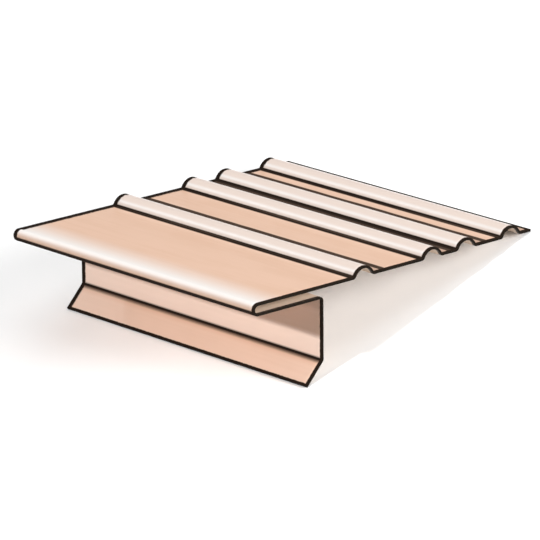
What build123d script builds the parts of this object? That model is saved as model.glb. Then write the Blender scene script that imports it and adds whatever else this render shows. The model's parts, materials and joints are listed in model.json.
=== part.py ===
"""Drip edge: a short length of roll-formed roof edging in painted sheet steel.

The whole part is one folded sheet, so it is one solid. Its section is drawn as it sits on a roof,
with the flange level: y runs back from the nose and z up from the flange. The section's plane is
then tipped, so that the piece rests on a level floor as it would lie unheld, on the edge of its
kick and the rear edge of its flange.
"""

from build123d import *
from math import atan2, cos, radians, sin
import os

# The sheet and the piece
sheet = 0.85  # thickness of the painted sheet
length = 123.0  # as cut
bend_radius = 0.8  # inside the two bends of the leg

# The flange, measured along its outer face from the nose to the rear edge
front_flat = 45.4  # nose tip to the first rib
middle_flat = 22.7  # first rib to the second
narrow_flat = 7.0  # second rib to the third
back_flat = 12.2  # third rib to the fourth
rear_lip = 5.0  # fourth rib to the rear edge

# The ribs, all alike
rib_base = 9.1  # foot to foot on the outer face
rib_rise = 3.0  # from the flat to the crown
rib_foot_radius = 0.6  # where a rib leaves the flat

# The open hem, the leg below it and the kick
hem_gap = 2.7  # clear height inside the fold
overhang = 30.5  # nose tip to the front face of the leg
leg_drop = 21.2  # underside of the hem to the crease of the kick
kick_length = 10.5  # crease to edge
kick_angle = 43.3  # turned forward from the leg, in degrees

# The hem and the ribs along the flange
nose_radius = hem_gap / 2 + sheet
hem_height = 2 * nose_radius
flats = [front_flat, middle_flat, narrow_flat, back_flat]
rib_starts = [sum(flats[: i + 1]) + i * rib_base for i in range(len(flats))]
depth = rib_starts[-1] + rib_base + rear_lip

# The crease and the two corners of the kick's edge
kick = radians(kick_angle)
crease = (overhang, -hem_height - leg_drop)
toe = (crease[0] - kick_length * sin(kick), crease[1] - kick_length * cos(kick))
heel = (toe[0] + sheet * cos(kick), toe[1] - sheet * sin(kick))

# The heel and the lower corner of the rear edge touch the floor
rest_tilt = atan2(-sheet - heel[1], depth - heel[0])
front_reach = nose_radius * (cos(rest_tilt) - sin(rest_tilt) - 1)
rear_reach = depth * cos(rest_tilt)
heel_height = heel[1] * cos(rest_tilt) - heel[0] * sin(rest_tilt)

# The section's plane at the left end, tipped, with the part centred over the origin
tipped = Plane(
    origin=(-length / 2, -(front_reach + rear_reach) / 2, -heel_height),
    x_dir=(0, cos(rest_tilt), -sin(rest_tilt)),
    z_dir=(1, 0, 0),
)

with BuildPart() as drip_edge:
    with BuildSketch(tipped) as section:
        # The outer face of the sheet, from the rear edge over the ribs to the nose, then back
        # under the flange and down to the toe
        with BuildLine() as outer_face:
            reach = depth
            for start in reversed(rib_starts):
                end = start + rib_base
                Line((reach, 0), (end, 0))
                ThreePointArc((end, 0), (start + rib_base / 2, rib_rise), (start, 0))
                reach = start
            Line((reach, 0), (nose_radius, 0))
            ThreePointArc((nose_radius, 0), (0, -nose_radius), (nose_radius, -hem_height))
            Polyline((nose_radius, -hem_height), (overhang, -hem_height), crease, toe)

            rib_feet = outer_face.vertices().filter_by_position(
                Axis.X, rib_starts[0], depth, (True, False)
            )
            fillet(rib_feet, rib_foot_radius)
            bends = outer_face.vertices().filter_by_position(Axis.X, overhang, overhang)
            fillet(bends, bend_radius)

            offset(amount=sheet, side=Side.LEFT)
        make_face()
    extrude(amount=length)

drip_edge.part.label = "drip_edge"

os.makedirs("parts", exist_ok=True)
export_step(drip_edge.part, "parts/drip_edge.step")

girth = drip_edge.part.volume / (sheet * length)
print(f"girth {girth:.1f}, depth {depth:.1f}, hem {hem_height:.2f}, rest tilt {rest_tilt:.4f} rad")
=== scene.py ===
"""Drip edge: the looks of a short length of roll-formed roof edging in baked peach paint.

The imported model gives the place, the tilt at rest and the length. The section is drawn again here
as a finer mesh, in metres, in the installed frame: y back from the nose, z up from the flange.
"""

import json
from math import acos, cos, exp, pi, radians, sin, tan

import bpy
import numpy as np
from mathutils import Matrix, Vector


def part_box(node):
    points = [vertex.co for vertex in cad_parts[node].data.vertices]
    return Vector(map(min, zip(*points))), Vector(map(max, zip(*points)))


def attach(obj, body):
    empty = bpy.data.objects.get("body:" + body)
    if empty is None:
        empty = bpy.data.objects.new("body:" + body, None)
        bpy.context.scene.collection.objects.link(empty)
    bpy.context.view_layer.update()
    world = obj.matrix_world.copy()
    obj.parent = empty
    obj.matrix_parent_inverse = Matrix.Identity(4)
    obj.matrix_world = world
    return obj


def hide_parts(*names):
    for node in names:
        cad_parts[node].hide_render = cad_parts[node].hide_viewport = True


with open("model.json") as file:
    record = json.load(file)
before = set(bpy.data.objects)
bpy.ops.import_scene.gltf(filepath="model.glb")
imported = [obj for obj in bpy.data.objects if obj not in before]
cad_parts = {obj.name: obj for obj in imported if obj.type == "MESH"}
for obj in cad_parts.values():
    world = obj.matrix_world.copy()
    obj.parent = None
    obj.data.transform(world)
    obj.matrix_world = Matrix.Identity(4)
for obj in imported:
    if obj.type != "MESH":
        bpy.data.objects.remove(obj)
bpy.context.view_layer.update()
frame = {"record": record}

MM = 0.001

# The section, as the solid has it
SHEET = 0.85 * MM
BEND_RADIUS = 0.8 * MM
FLATS = [45.4 * MM, 22.7 * MM, 7.0 * MM, 12.2 * MM]
REAR_LIP = 5.0 * MM
RIB_BASE = 9.1 * MM
RIB_RISE = 3.0 * MM
RIB_FOOT_RADIUS = 0.6 * MM
HEM_GAP = 2.7 * MM
OVERHANG = 30.5 * MM
LEG_DROP = 21.2 * MM
KICK_LENGTH = 10.5 * MM
KICK_ANGLE = radians(43.3)

# What follows from it: a rib's radius, its slope at the feet, and how far a foot's rounding spreads
# over the flat. The crease's rounding takes KICK_SET off the leg and the kick.
NOSE_RADIUS = HEM_GAP / 2 + SHEET
DEPTH = sum(FLATS) + len(FLATS) * RIB_BASE + REAR_LIP
RIB_RADIUS = ((RIB_BASE / 2) ** 2 + RIB_RISE**2) / (2 * RIB_RISE)
RIB_SLOPE = acos((RIB_FOOT_RADIUS + RIB_RADIUS - RIB_RISE) / (RIB_RADIUS + RIB_FOOT_RADIUS))
RIB_SPREAD = (RIB_RADIUS + RIB_FOOT_RADIUS) * sin(RIB_SLOPE) - RIB_BASE / 2
KICK_SET = BEND_RADIUS * tan(KICK_ANGLE / 2)
FRONT_RUN = FLATS[0] - RIB_SPREAD - NOSE_RADIUS
HEM_RUN = OVERHANG - NOSE_RADIUS - BEND_RADIUS
LEG_RUN = LEG_DROP - BEND_RADIUS - KICK_SET
KICK_RUN = KICK_LENGTH - KICK_SET

# The mesh along the length: its rings between the eased cuts, where a cut's second ring is, and how
# far the sheet draws in at the cut's first and second rings
RINGS = 61
CUT_EASE = 0.10 * MM
SECOND_RING = CUT_EASE / 3
CUT_DRAWN_IN = (0.8 * CUT_EASE, 0.3 * CUT_EASE)

# The mesh round the section: its steps, the short ones at both ends of a straight, and the angle
# from which an edge is sharp
SHARP_ANGLE = radians(40)
FRONT_STEP = 1.0 * MM
FLAT_STEP = 1.2 * MM
BEND_STEP = 0.7 * MM
SHORT_STEPS = 3
LIP_STEPS = 8
FOOT_STEPS = 8
RIB_STEPS = 40
NOSE_STEPS = 36
HEM_STEPS = 12
CORNER_STEPS = 12
LEG_STEPS = 28
CREASE_STEPS = 8
KICK_STEPS = 16

# The colours, as linear light
PEACH = (0.742, 0.488, 0.355)
PEACH_DEEP = (0.712, 0.458, 0.325)
PAINTED_SHEEN_COLOUR = (0.705, 0.592, 0.528)
PAINTED_LIGHT_COLOUR = (0.83, 0.80, 0.775)
# The colour of painted shade and of the bared lines by the cuts
DARK_SHADE_AND_BARED = (0.014, 0.008, 0.005)
BACKER = (0.60, 0.475, 0.375)
BACKER_DULL = (0.55, 0.43, 0.335)
STEEL = (0.010, 0.007, 0.005)
STEEL_DARK = (0.004, 0.003, 0.002)

# How much painted light the paint has, from 0 to 1, and where: a painted highlight along the nose
# and on the ribs' front slopes, and paint lightened on the leg below the hem's shadow and on the
# kick away from its crease. Pairs of ends say between which shares of a bend or straight something
# begins or ends.
NOSE_HIGHLIGHT = 0.95
NOSE_HIGHLIGHT_REACH = 13.0 * MM
NOSE_HIGHLIGHT_FALL = 1.4
NOSE_HIGHLIGHT_ENDS = (0.11, 0.55)
RIB_HIGHLIGHT = 0.75
RIB_HIGHLIGHT_MIDDLE = 0.85
RIB_HIGHLIGHT_SPREAD = 0.06
LEG_LIGHT = 0.29
KICK_LIGHT = 0.17

# Painted shadow that the hem casts on the top of the leg, down to this drop
HEM_SHADOW_DROP = 13.0 * MM
HEM_SHADOW_SHARE = (HEM_SHADOW_DROP - BEND_RADIUS) / LEG_RUN
HEM_SHADOW_ENDS = (HEM_SHADOW_SHARE - 0.04, HEM_SHADOW_SHARE + 0.04)

# Painted shade, from 0 to 1, and where: in the creases and beside them, on the narrow flat, under
# the nose and under the hem
VALLEY_SHADE = 0.88
VALLEY_SHADE_BEGINS = (3.2 * MM, 8.0 * MM)
RIB_SHADE_BEGINS = (0.975, 1.0)
NOSE_SHADE = 0.30
NOSE_SHADE_BEGINS = (0.20, 0.60)
NOSE_SHADE_ENDS = (0.8, 1.0)
NOSE_LINE_BEGINS = (0.47, 0.56)
NOSE_LINE_ENDS = (0.90, 1.0)
HEM_SHADOW = 0.27
CORNER_SHADE = 0.16
CORNER_ENDS = (0.12, 0.2)
CREASE_SHADE = 0.10
CREASE_ENDS = (0.0, 0.35)

# How many short steps the lines of painted shade beside bends are wide, and within which part of
# the next step they end
FLAT_LINE = 2
LEG_LINE = 0
KICK_LINE = 0.6
LINE_ENDS = (0.1, 0.9)

# How wide the bared steel is at the left and right ends of level and of steep sheet, at the rear
# edge and at the toe. Sheet is level where the sine of its slope is under LEVEL_SINE.
LEVEL_END_LINES = (3.0 * MM, 1.3 * MM)
STEEP_END_LINES = (2.05 * MM, 1.05 * MM)
REAR_LINE = 1.7 * MM
TOE_LINE = 1.0 * MM
LEVEL_SINE = 0.05

# How far its border wanders and where it ends, in widths of the line
BARED_WANDER = 0.4
BARED_ENDS = (1.05, 1.35)

# Painted shade behind each rib that thins outwards, and a dark line where it ends
SHADE_BEHIND_RIB = (0.50, 0.20)
SHADE_BEHIND_REACH = (0.4 * MM, 3.6 * MM)
BEHIND_LINE = 0.95
BEHIND_LINE_BEGINS = (3.4 * MM, 3.9 * MM)
BEHIND_LINE_ENDS = (6.0 * MM, 6.6 * MM)
BEHIND_WANDER = 0.8 * MM

# What a point that isn't on a flat behind a rib has as its distance behind one, and over which
# distance such a flat begins
NOT_BEHIND = -1.0 * MM
BEHIND_BEGINS = (0.0, 0.2 * MM)

# The noises: their features a metre along the part's x, y and z, and their detail. Nearly all of a
# noise is within NOISE_SPAN.
PEEL_NOISE = ((850, 850, 850), 2.0)
STREAK_NOISE = ((9, 650, 650), 3.0)
MOTTLE_NOISE = ((45, 110, 110), 3.0)
LINE_NOISE = ((1400, 1400, 1400), 2.0)
BEHIND_NOISE = ((60, 400, 400), 3.0)
ROLLER_NOISE = ((14, 420, 420), 4.0)
CLOUD_NOISE = ((60, 60, 60), 2.0)
SHEAR_NOISE = ((1800, 1800, 350), 3.0)
NOISE_SPAN = (0.3, 0.7)

# The paint: the sum of two noises over which it turns from deep to full peach, the noise under
# which streaks thin its painted shade, and its gloss. Its painted shade and bared lines add to its
# roughness.
PAINT_TONE = (0.75, 1.25)
STREAKS_THIN = (0.25, 0.45)
THINNED_SHADE = 0.94
PAINT_ROUGHNESS = (0.38, 0.44)
DARK_ROUGHNESS = 0.55
PAINT_IOR = 1.5
PAINT_SPECULAR = 0.1
COAT_ROUGHNESS = 0.26
PEEL_DEPTH = 0.008 * MM

# The backer coat and the sheared steel
BACKER_TONE = (0.7, 1.3)
BACKER_ROUGHNESS = (0.50, 0.60)
ROLLER_DEPTH = 0.012 * MM
STEEL_ROUGHNESS = (0.55, 0.75)
STEEL_SPECULAR = 0.05
SHEAR_DEPTH = 0.02 * MM

# The floor, and between which distances from the part it thins out
FLOOR_SIZE = 2.0
FLOOR_THINS = (0.36, 0.9)
FLOOR_WHITE = (0.96, 0.96, 0.96)
FLOOR_ROUGHNESS = 0.9

# The softboxes: the direction that each is seen in from the part, in the installed frame, its
# distance, width, height and watts, and whether the part mirrors it
LIGHTS = {
    "key": ((-0.06, -0.92, 0.43), 1.6, 0.06, 0.06, 15.6, True),
    "side_box": ((-0.708, -0.31, 0.63), 1.2, 0.25, 0.16, 0.5, True),
    "top_box": ((0.0, 0.1, 1.0), 1.5, 1.6, 1.6, 10.3, True),
    "right_box": ((0.90, 0.25, 0.35), 2.6, 1.8, 1.0, 117.0, False),
    "low_right": ((0.97, 0.05, 0.20), 2.6, 1.8, 0.8, 35.0, False),
}
WORLD_STRENGTH = 0.15
WHITE = (1, 1, 1, 1)

# The view of the drawing, in the installed frame
VIEW_AZIMUTH = radians(47.674)
VIEW_ELEVATION = radians(16.630)
VIEW_ROLL = radians(-0.414)
VIEW_DISTANCE = 1.660
VIEW_TARGET = Vector((0.0306, 0.0356, -0.0021))
LENS = 329.5
SENSOR = 36.0


def installed_frame():
    """The matrix from the installed frame to the frame of the part at rest."""
    mounts = {m["name"]: m for m in frame["record"]["mounts"]}
    cover = mounts["cover_seat"]
    up = Vector(cover["axis"]).normalized()
    back = Vector((0, up.z, -up.y))
    # The mount is in the middle of the front flat
    nose = Vector(cover["pos_m"]) - back * (NOSE_RADIUS + FLATS[0]) / 2
    axes = Matrix((Vector((1, 0, 0)), back, up)).transposed().to_4x4()
    return Matrix.Translation(nose) @ axes


installed = installed_frame()


def ease(t, low, high):
    """Rises smoothly from 0 at low to 1 at high."""
    t = min(1.0, max(0.0, (t - low) / (high - low)))
    return t * t * (3 - 2 * t)


def fade(t, low, high):
    """Falls smoothly from 1 at low to 0 at high."""
    return 1 - ease(t, low, high)


def beside_bend(distance, line):
    """The line of painted shade beside a bend, at this distance from it."""
    return fade(distance / BEND_STEP, line + LINE_ENDS[0], line + LINE_ENDS[1])


# How much painted shade and painted light a bend or straight of the section has, by the share of it
# that is done on the way from the rear edge to the toe


def nowhere(t):
    return 0.0


def all_over(t):
    return 1.0


# Painted shade: the line in a rib's front foot reaches a little up the crown
def rib_painted_shade(t):
    return ease(t, *RIB_SHADE_BEGINS)


def rib_painted_highlight(t):
    """A painted highlight, most on the slope that faces front."""
    return RIB_HIGHLIGHT * exp(-(((t - RIB_HIGHLIGHT_MIDDLE) / RIB_HIGHLIGHT_SPREAD) ** 2))


# Painted shade: a line beside the front rib's foot
def front_painted_shade(t):
    return beside_bend(t * FRONT_RUN, FLAT_LINE)


def front_painted_highlight(t):
    """A painted highlight, most at the nose."""
    from_nose = (1 - t) * FRONT_RUN
    return NOSE_HIGHLIGHT * max(0.0, 1 - from_nose / NOSE_HIGHLIGHT_REACH) ** NOSE_HIGHLIGHT_FALL


def nose_painted_shade(t):
    """Painted shade: dark on the lower half of the nose, with a lighter shade beginning higher up.
    """
    line = ease(t, *NOSE_LINE_BEGINS) * fade(t, *NOSE_LINE_ENDS)
    return max(line, NOSE_SHADE * ease(t, *NOSE_SHADE_BEGINS) * fade(t, *NOSE_SHADE_ENDS))


# A painted highlight over the top of the nose, fading towards its underside
def nose_painted_highlight(t):
    return NOSE_HIGHLIGHT * fade(t, *NOSE_HIGHLIGHT_ENDS)


# Painted shade in the bend under the hem
def corner_painted_shade(t):
    return HEM_SHADOW + CORNER_SHADE


# Painted shade: the hem's shadow on the top of the leg, darkest right under the hem, and a line by
# the crease
def leg_painted_shade(t):
    shaded = HEM_SHADOW * fade(t, *HEM_SHADOW_ENDS) + CORNER_SHADE * fade(t, *CORNER_ENDS)
    return max(shaded, beside_bend((1 - t) * LEG_RUN, LEG_LINE))


# Painted light: the leg paler below the hem's shadow
def leg_painted_light(t):
    return LEG_LIGHT * ease(t, *HEM_SHADOW_ENDS)


# Painted shade below the crease, and a line beside it
def kick_painted_shade(t):
    return max(CREASE_SHADE * fade(t, *CREASE_ENDS), beside_bend(t * KICK_RUN, KICK_LINE))


# Painted light: the kick paler away from its crease
def kick_painted_light(t):
    return KICK_LIGHT * ease(t, *CREASE_ENDS)


class Walk:
    """Draws the outer face of the sheet, from the rear edge to the toe, with the sheet on its left.

    Each point keeps how far it has come, whether the sheet is level there, how far behind a rib it
    is, and how much painted shade, painted light and painted sheen its paint has."""

    def __init__(self, start, heading):
        self.at = np.array(start, float)
        self.heading = heading
        self.length = 0.0
        self.points = []
        self.normals = []
        self.lengths = []
        self.level = []
        self.behind = []
        self.painted_shade = []
        self.painted_light = []
        self.painted_sheen = []
        self._keep(0.0, 0.0, behind=REAR_LIP)

    def _left(self):
        return np.array((-sin(self.heading), cos(self.heading)))

    def _keep(self, painted_shade, painted_light, painted_sheen=0.0, behind=NOT_BEHIND):
        self.points.append(self.at.copy())
        self.normals.append(self._left())
        self.lengths.append(self.length)
        self.level.append(abs(sin(self.heading)) < LEVEL_SINE)
        self.behind.append(behind)
        self.painted_shade.append(painted_shade)
        self.painted_light.append(painted_light)
        self.painted_sheen.append(painted_sheen)

    def straight(self, distance, steps, painted_shade=nowhere, painted_light=nowhere, to_rib=None):
        """Where a rib comes next, to_rib is the distance from the end of the run to its base."""
        ahead = np.array((cos(self.heading), sin(self.heading)))
        start, begun = self.at, self.length
        near = BEND_STEP * np.arange(1, SHORT_STEPS)
        reach = BEND_STEP * SHORT_STEPS
        middle = np.linspace(reach, distance - reach, steps - 2 * SHORT_STEPS + 1)
        for stop in [*near, *middle, *(distance - near[::-1]), distance]:
            self.at = start + ahead * stop
            self.length = begun + stop
            behind = NOT_BEHIND if to_rib is None else distance - stop + to_rib
            self._keep(painted_shade(stop / distance), painted_light(stop / distance), behind=behind)

    def turn(self, radius, angle, steps, painted_shade=nowhere, painted_light=nowhere, painted_sheen=nowhere):
        """Positive angles turn left, towards the sheet's own side."""
        side = 1 if angle > 0 else -1
        centre = self.at + self._left() * radius * side
        for i in range(1, steps + 1):
            self.heading += angle / steps
            self.at = centre - self._left() * radius * side
            self.length += radius * abs(angle) / steps
            self._keep(painted_shade(i / steps), painted_light(i / steps), painted_sheen(i / steps))


# Painted shade in both feet of a rib. Its crown has a painted sheen that pales it all over, and a
# painted highlight.
def draw_rib(walk):
    walk.turn(RIB_FOOT_RADIUS, -RIB_SLOPE, FOOT_STEPS, painted_shade=all_over)
    walk.turn(
        RIB_RADIUS, 2 * RIB_SLOPE, RIB_STEPS, painted_shade=rib_painted_shade, painted_light=rib_painted_highlight, painted_sheen=all_over
    )
    walk.turn(RIB_FOOT_RADIUS, -RIB_SLOPE, FOOT_STEPS, painted_shade=all_over)


def draw_flat(walk, flat):
    """A flat between two ribs."""
    run = flat - 2 * RIB_SPREAD
    steps = round(flat / FLAT_STEP) + 2 * (SHORT_STEPS - 1)
    walk.straight(run, steps, lambda t: beside_bend(t * run, FLAT_LINE), to_rib=RIB_SPREAD)


def draw_section():
    walk = Walk((DEPTH, 0.0), pi)
    walk.straight(REAR_LIP - RIB_SPREAD, LIP_STEPS, to_rib=RIB_SPREAD)
    for flat in reversed(FLATS[1:]):
        draw_rib(walk)
        draw_flat(walk, flat)
    draw_rib(walk)
    walk.straight(FRONT_RUN, round(FRONT_RUN / FRONT_STEP), painted_shade=front_painted_shade, painted_light=front_painted_highlight)
    walk.turn(NOSE_RADIUS, pi, NOSE_STEPS, painted_shade=nose_painted_shade, painted_light=nose_painted_highlight)
    walk.straight(HEM_RUN, HEM_STEPS)
    walk.turn(BEND_RADIUS, -pi / 2, CORNER_STEPS, painted_shade=corner_painted_shade)
    walk.straight(LEG_RUN, LEG_STEPS, painted_shade=leg_painted_shade, painted_light=leg_painted_light)
    # Painted shade in the crease
    walk.turn(BEND_RADIUS, -KICK_ANGLE, CREASE_STEPS, painted_shade=all_over)
    walk.straight(KICK_RUN, KICK_STEPS, painted_shade=kick_painted_shade, painted_light=kick_painted_light)
    return walk


# The sheet's material slots
FRONT, BACK, CUT = range(3)


def ring_places():
    """Where the mesh's rings are along x, and how far each one's faces draw in."""
    low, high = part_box("drip_edge")
    half = (high.x - low.x) / 2
    inner = np.linspace(-half + CUT_EASE, half - CUT_EASE, RINGS)
    xs = np.concatenate(([-half, -half + SECOND_RING], inner, [half - SECOND_RING, half]))
    drawn_in = np.zeros(len(xs))
    drawn_in[[0, -1]], drawn_in[[1, -2]] = CUT_DRAWN_IN
    return xs, drawn_in


def ring_faces(rings, count):
    """The mesh's faces and their slots. A ring has its points on the outer face, then the inner."""

    def outer(ring, point):
        return 2 * ring * count + point

    def inner(ring, point):
        return (2 * ring + 1) * count + point

    faces = []
    slots = []
    for i in range(rings - 1):
        eased = i in (0, rings - 2)
        for j in range(count - 1):
            faces.append((outer(i, j), outer(i, j + 1), outer(i + 1, j + 1), outer(i + 1, j)))
            faces.append((inner(i, j), inner(i + 1, j), inner(i + 1, j + 1), inner(i, j + 1)))
            slots += [CUT, CUT] if eased else [FRONT, BACK]
        for j, flip in ((0, False), (count - 1, True)):
            quad = (outer(i, j), outer(i + 1, j), inner(i + 1, j), inner(i, j))
            faces.append(quad[::-1] if flip else quad)
            slots.append(CUT)
    for i, flip in ((0, False), (rings - 1, True)):
        for j in range(count - 1):
            quad = (outer(i, j), inner(i, j), inner(i, j + 1), outer(i, j + 1))
            faces.append(quad[::-1] if flip else quad)
            slots.append(CUT)
    return faces, slots


def painted_shading_values(walk, xs):
    """The numbers for each vertex that the materials read by these names, ring by ring."""
    half = xs[-1]
    lengths = np.array(walk.lengths)
    reverse = np.zeros(len(lengths))
    from_edge = np.minimum(lengths / REAR_LINE, (lengths[-1] - lengths) / TOE_LINE)

    # Painted shade on the flat between the second and third ribs, except near its right end
    narrow = min(FLATS)
    middle = FLATS[0] + FLATS[1] + 2 * RIB_BASE + narrow / 2
    in_valley = np.abs(np.array(walk.points)[:, 0] - middle) < narrow / 2
    shaded = np.array([ease(half - x, *VALLEY_SHADE_BEGINS) for x in xs])
    valley_shading = VALLEY_SHADE * np.outer(shaded, in_valley)

    left = np.where(walk.level, LEVEL_END_LINES[0], STEEP_END_LINES[0])
    right = np.where(walk.level, LEVEL_END_LINES[1], STEEP_END_LINES[1])
    to_left = (xs[:, None] + half) / np.tile(left, 2)
    to_right = (half - xs[:, None]) / np.tile(right, 2)

    def both_faces(outer, inner):
        return np.tile(np.concatenate((outer, inner)), (len(xs), 1))

    painted_shade = both_faces(walk.painted_shade, reverse)
    outer = slice(len(lengths))
    painted_shade[:, outer] = np.maximum(painted_shade[:, outer], valley_shading)
    return {
        "painted_shade": painted_shade,
        "painted_light": both_faces(walk.painted_light, reverse),
        "painted_sheen": both_faces(walk.painted_sheen, reverse),
        "behind_rib": both_faces(walk.behind, reverse + NOT_BEHIND),
        "from_edge": both_faces(from_edge, from_edge),
        "from_end": np.minimum(to_left, to_right),
    }


def build_sheet():
    walk = draw_section()
    xs, drawn_in = ring_places()
    points = np.array(walk.points)
    normals = np.array(walk.normals)
    verts = []
    for x, cut in zip(xs, drawn_in):
        for face in (points + normals * cut, points + normals * (SHEET - cut)):
            verts += [(x, y, z) for y, z in face]
    faces, slots = ring_faces(len(xs), len(points))

    mesh = bpy.data.meshes.new("edging_sheet")
    mesh.from_pydata(verts, [], faces)
    mesh.transform(installed)
    mesh.polygons.foreach_set("material_index", slots)
    mesh.polygons.foreach_set("use_smooth", [True] * len(faces))
    for name, values in painted_shading_values(walk, xs).items():
        layer = mesh.attributes.new(name, "FLOAT", "POINT")
        layer.data.foreach_set("value", values.astype(np.float32).ravel())
    mesh.update()
    mesh.set_sharp_from_angle(angle=SHARP_ANGLE)
    sheet = bpy.data.objects.new("edging_sheet", mesh)
    bpy.context.scene.collection.objects.link(sheet)
    return sheet


class Finish:
    """A material with its shader, and short calls for the nodes that vary it."""

    def __init__(self, name):
        self.material = bpy.data.materials.new(name)
        self.material.use_nodes = True
        self.nodes = self.material.node_tree.nodes
        self.links = self.material.node_tree.links
        self.shader = self.nodes["Principled BSDF"].inputs

    def feed(self, socket, value):
        """Links an output, or sets a number or a linear colour."""
        if isinstance(value, bpy.types.NodeSocket):
            self.links.new(value, socket)
        elif isinstance(value, tuple):
            socket.default_value = (*value, 1)[: len(socket.default_value)]
        else:
            socket.default_value = value

    def attribute(self, name):
        node = self.nodes.new("ShaderNodeAttribute")
        node.attribute_name = name
        return node.outputs["Fac"]

    def place(self):
        """Where a point of the surface is, from the object's origin."""
        return self.nodes.new("ShaderNodeTexCoord").outputs["Object"]

    def distance(self):
        node = self.nodes.new("ShaderNodeVectorMath")
        node.operation = "LENGTH"
        self.links.new(self.place(), node.inputs["Vector"])
        return node.outputs["Value"]

    def noise(self, features, detail):
        scale = self.nodes.new("ShaderNodeMapping")
        scale.inputs["Scale"].default_value = features
        node = self.nodes.new("ShaderNodeTexNoise")
        node.inputs["Scale"].default_value = 1.0
        node.inputs["Detail"].default_value = detail
        self.links.new(self.place(), scale.inputs["Vector"])
        self.links.new(scale.outputs["Vector"], node.inputs["Vector"])
        return node.outputs["Fac"]

    def math(self, operation, *values):
        node = self.nodes.new("ShaderNodeMath")
        node.operation = operation
        for socket, value in zip(node.inputs, values):
            self.feed(socket, value)
        return node.outputs["Value"]

    def range(self, value, low, high, to_low=0.0, to_high=1.0):
        """Carries a value smoothly from one range to another, and no further."""
        node = self.nodes.new("ShaderNodeMapRange")
        node.interpolation_type = "SMOOTHSTEP"
        self.feed(node.inputs["Value"], value)
        self.feed(node.inputs["From Min"], low)
        self.feed(node.inputs["From Max"], high)
        self.feed(node.inputs["To Min"], to_low)
        self.feed(node.inputs["To Max"], to_high)
        return node.outputs["Result"]

    def blend(self, factor, first, second):
        node = self.nodes.new("ShaderNodeMix")
        node.data_type = "RGBA"
        self.feed(node.inputs["Factor"], factor)
        self.feed(node.inputs["A"], first)
        self.feed(node.inputs["B"], second)
        return node.outputs["Result"]

    def bump(self, height, depth):
        node = self.nodes.new("ShaderNodeBump")
        node.inputs["Distance"].default_value = depth
        self.feed(node.inputs["Height"], height)
        self.feed(self.shader["Normal"], node.outputs["Normal"])


def bared_lines(finish):
    """Full strength beside the cuts and gone past the lines' widths, with slightly uneven borders.
    The distances from the cuts are in widths of the line."""
    ragged = finish.noise(*LINE_NOISE)
    nearest = finish.math("MINIMUM", finish.attribute("from_end"), finish.attribute("from_edge"))
    distance = finish.math("MULTIPLY_ADD", ragged, BARED_WANDER, nearest)
    return finish.range(distance, *BARED_ENDS, 1.0, 0.0)


def shade_behind_rib(finish):
    """Painted shade behind a rib, and a dark line where it ends. Its borders wander a little."""
    behind = finish.attribute("behind_rib")
    wandering = finish.math("MULTIPLY_ADD", finish.noise(*BEHIND_NOISE), BEHIND_WANDER, behind)
    coat = finish.range(wandering, *SHADE_BEHIND_REACH, *SHADE_BEHIND_RIB)
    end_line = finish.range(wandering, *BEHIND_LINE_BEGINS, 0.0, BEHIND_LINE)
    before_line_end = finish.range(wandering, *BEHIND_LINE_ENDS, 1.0, 0.0)
    shaded = finish.math("MULTIPLY", finish.math("MAXIMUM", coat, end_line), before_line_end)
    return finish.math("MULTIPLY", shaded, finish.range(behind, *BEHIND_BEGINS))


def paint_material():
    """Baked enamel: orange peel, faint streaks along the rolling direction and a slight mottle.
    The ribs are paled all over by a painted sheen. A painted highlight lies on their front slopes
    and along the nose, and painted light makes the leg and kick paler. The creases, the nose's
    underside, the top of the leg and the flats
    behind the ribs are darker: painted shade. By the cuts are lines of bared steel."""
    finish = Finish("peach_paint")
    peel = finish.noise(*PEEL_NOISE)
    streak = finish.noise(*STREAK_NOISE)
    mottle = finish.noise(*MOTTLE_NOISE)

    tone = finish.range(finish.math("ADD", mottle, streak), *PAINT_TONE)
    fresh = finish.blend(tone, PEACH_DEEP, PEACH)
    sheened = finish.blend(finish.attribute("painted_sheen"), fresh, PAINTED_SHEEN_COLOUR)
    lit_paint = finish.blend(finish.attribute("painted_light"), sheened, PAINTED_LIGHT_COLOUR)

    streaked = finish.range(streak, *STREAKS_THIN, THINNED_SHADE, 1.0)
    painted_shade = finish.math("MULTIPLY", finish.attribute("painted_shade"), streaked)
    all_painted_shade = finish.math("MAXIMUM", painted_shade, shade_behind_rib(finish))
    dark = finish.math("MAXIMUM", all_painted_shade, bared_lines(finish))
    finish.feed(finish.shader["Base Color"], finish.blend(dark, lit_paint, DARK_SHADE_AND_BARED))

    gloss = finish.range(streak, *NOISE_SPAN, *PAINT_ROUGHNESS)
    roughness = finish.math("MULTIPLY_ADD", dark, DARK_ROUGHNESS, gloss)
    finish.feed(finish.shader["Roughness"], roughness)
    finish.feed(finish.shader["IOR"], PAINT_IOR)
    finish.feed(finish.shader["Specular IOR Level"], PAINT_SPECULAR)
    finish.feed(finish.shader["Coat Weight"], finish.math("SUBTRACT", 1.0, dark))
    finish.feed(finish.shader["Coat Roughness"], COAT_ROUGHNESS)
    finish.bump(peel, PEEL_DEPTH)
    return finish.material


def backer_material():
    """The thin, dull coat that prepainted strip has on its reverse, with its roller's marks."""
    finish = Finish("backer_coat")
    roller = finish.noise(*ROLLER_NOISE)
    cloud = finish.noise(*CLOUD_NOISE)
    tone = finish.range(finish.math("ADD", roller, cloud), *BACKER_TONE)
    coat = finish.blend(tone, BACKER_DULL, BACKER)
    roughness = finish.range(roller, *NOISE_SPAN, *BACKER_ROUGHNESS)
    finish.feed(finish.shader["Base Color"], finish.blend(bared_lines(finish), coat, DARK_SHADE_AND_BARED))
    finish.feed(finish.shader["Roughness"], roughness)
    finish.feed(finish.shader["IOR"], PAINT_IOR)
    finish.bump(roller, ROLLER_DEPTH)
    return finish.material


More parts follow.
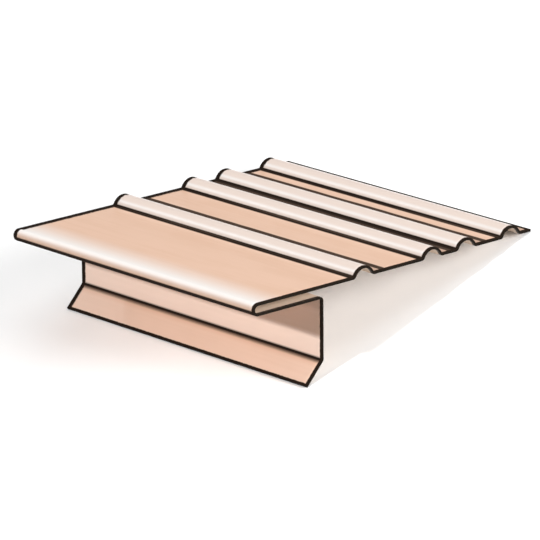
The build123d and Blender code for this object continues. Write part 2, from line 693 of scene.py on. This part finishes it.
def edge_material():
    """Sheared steel: dark, with fine marks across the sheet's thickness."""
    finish = Finish("cut_steel")
    marks = finish.noise(*SHEAR_NOISE)
    finish.feed(finish.shader["Base Color"], finish.blend(marks, STEEL_DARK, STEEL))
    finish.feed(finish.shader["Roughness"], finish.range(marks, *NOISE_SPAN, *STEEL_ROUGHNESS))
    finish.feed(finish.shader["Specular IOR Level"], STEEL_SPECULAR)
    finish.bump(marks, SHEAR_DEPTH)
    return finish.material


def add_floor():
    """A pale floor. Outside the drawing's view it thins out, so it has no edge or horizon."""
    bpy.ops.mesh.primitive_plane_add(size=FLOOR_SIZE, location=(0, 0, 0))
    floor = bpy.context.object
    floor.name = "floor"
    finish = Finish("floor_white")
    finish.feed(finish.shader["Base Color"], FLOOR_WHITE)
    finish.feed(finish.shader["Roughness"], FLOOR_ROUGHNESS)
    finish.feed(finish.shader["Specular IOR Level"], 0.0)
    finish.feed(finish.shader["Alpha"], finish.range(finish.distance(), *FLOOR_THINS, 1.0, 0.0))
    floor.data.materials.append(finish.material)


def add_light(name, direction, distance, width, height, power, mirrored):
    """A softbox. One that isn't mirrored lights the part without a reflection of its own."""
    middle = installed @ VIEW_TARGET
    away = (installed.to_3x3() @ Vector(direction)).normalized()
    data = bpy.data.lights.new(name, "AREA")
    data.shape = "RECTANGLE"
    data.size = width
    data.size_y = height
    data.energy = power
    light = bpy.data.objects.new(name, data)
    light.visible_glossy = mirrored
    light.location = middle + away * distance
    light.rotation_euler = away.to_track_quat("Z", "Y").to_euler()
    bpy.context.scene.collection.objects.link(light)


def add_backdrop():
    """White to the camera, but it gives little light."""
    world = bpy.data.worlds.new("studio")
    bpy.context.scene.world = world
    world.use_nodes = True
    nodes, links = world.node_tree.nodes, world.node_tree.links
    lighting = nodes["Background"]
    lighting.inputs["Color"].default_value = WHITE
    lighting.inputs["Strength"].default_value = WORLD_STRENGTH
    backdrop = nodes.new("ShaderNodeBackground")
    backdrop.inputs["Color"].default_value = WHITE
    choice = nodes.new("ShaderNodeMixShader")
    links.new(nodes.new("ShaderNodeLightPath").outputs["Is Camera Ray"], choice.inputs["Fac"])
    links.new(lighting.outputs["Background"], choice.inputs[1])
    links.new(backdrop.outputs["Background"], choice.inputs[2])
    links.new(choice.outputs["Shader"], nodes["World Output"].inputs["Surface"])


def add_camera():
    data = bpy.data.cameras.new("camera")
    data.lens = LENS
    data.sensor_width = SENSOR
    camera = bpy.data.objects.new("camera", data)
    turn = (
        Matrix.Rotation(VIEW_AZIMUTH, 4, "Z")
        @ Matrix.Rotation(pi / 2 - VIEW_ELEVATION, 4, "X")
        @ Matrix.Rotation(VIEW_ROLL, 4, "Z")
    )
    toward = turn.to_3x3() @ Vector((0, 0, 1))
    place = Matrix.Translation(VIEW_TARGET + toward * VIEW_DISTANCE)
    camera.matrix_world = installed @ place @ turn
    bpy.context.scene.collection.objects.link(camera)
    bpy.context.scene.camera = camera


sheet = build_sheet()
for material in (paint_material(), backer_material(), edge_material()):
    sheet.data.materials.append(material)
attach(sheet, "root")
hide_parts("drip_edge")

add_floor()
for name, setting in LIGHTS.items():
    add_light(name, *setting)
add_backdrop()
add_camera()
bpy.context.scene.view_settings.view_transform = "Standard"
